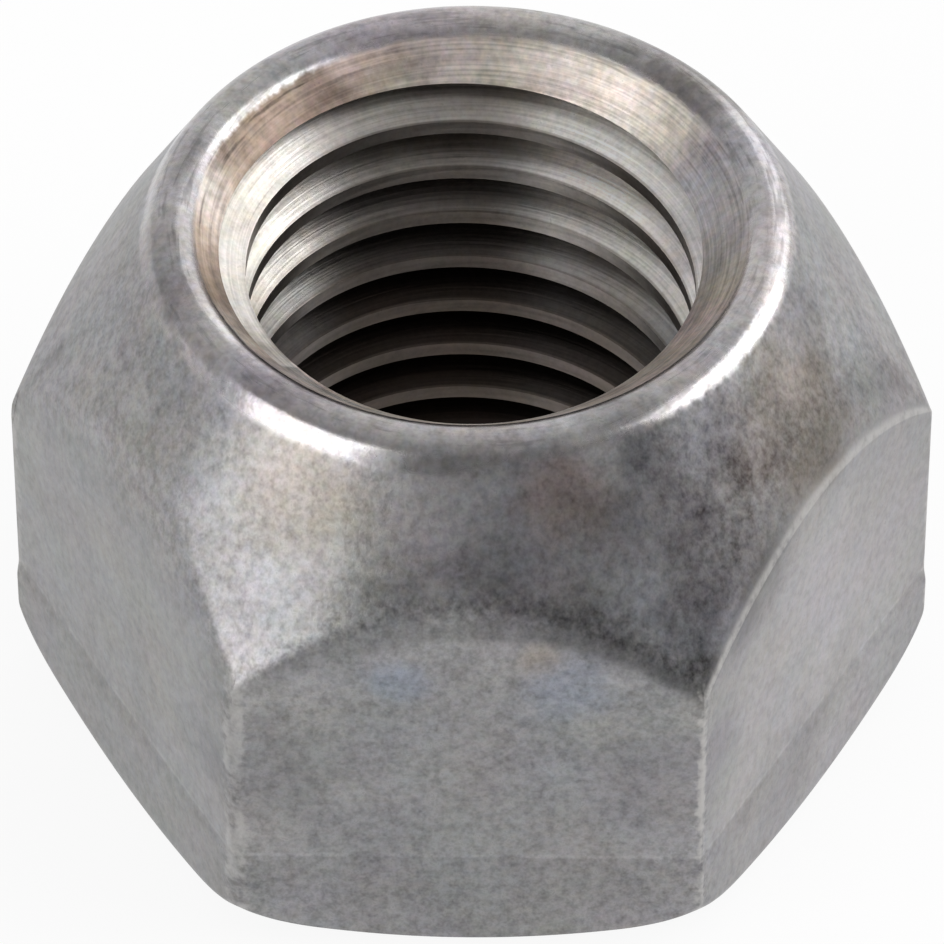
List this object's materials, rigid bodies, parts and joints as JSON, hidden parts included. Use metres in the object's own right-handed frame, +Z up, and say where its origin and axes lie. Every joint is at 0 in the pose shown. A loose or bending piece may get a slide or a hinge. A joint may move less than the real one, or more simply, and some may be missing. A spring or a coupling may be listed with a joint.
{
  "type": "lug nut",
  "caption": "Open-ended hexagonal wheel nut with a conical seat, a rounded nose and a metric fine thread.",
  "frame": {"origin": "centre of the flat base face", "axes": "+Z up along the thread axis towards the conical nose, -Y square to one flat, X towards two opposite corners"},
  "size_m": [0.022, 0.0192, 0.0148],
  "materials": {
    "forged_steel": "grey heat-treated and oiled forged steel, satin, bright where worn"
  },
  "bodies": {
    "root": {"lug_nut": "forged_steel"}
  },
  "joints": []
}
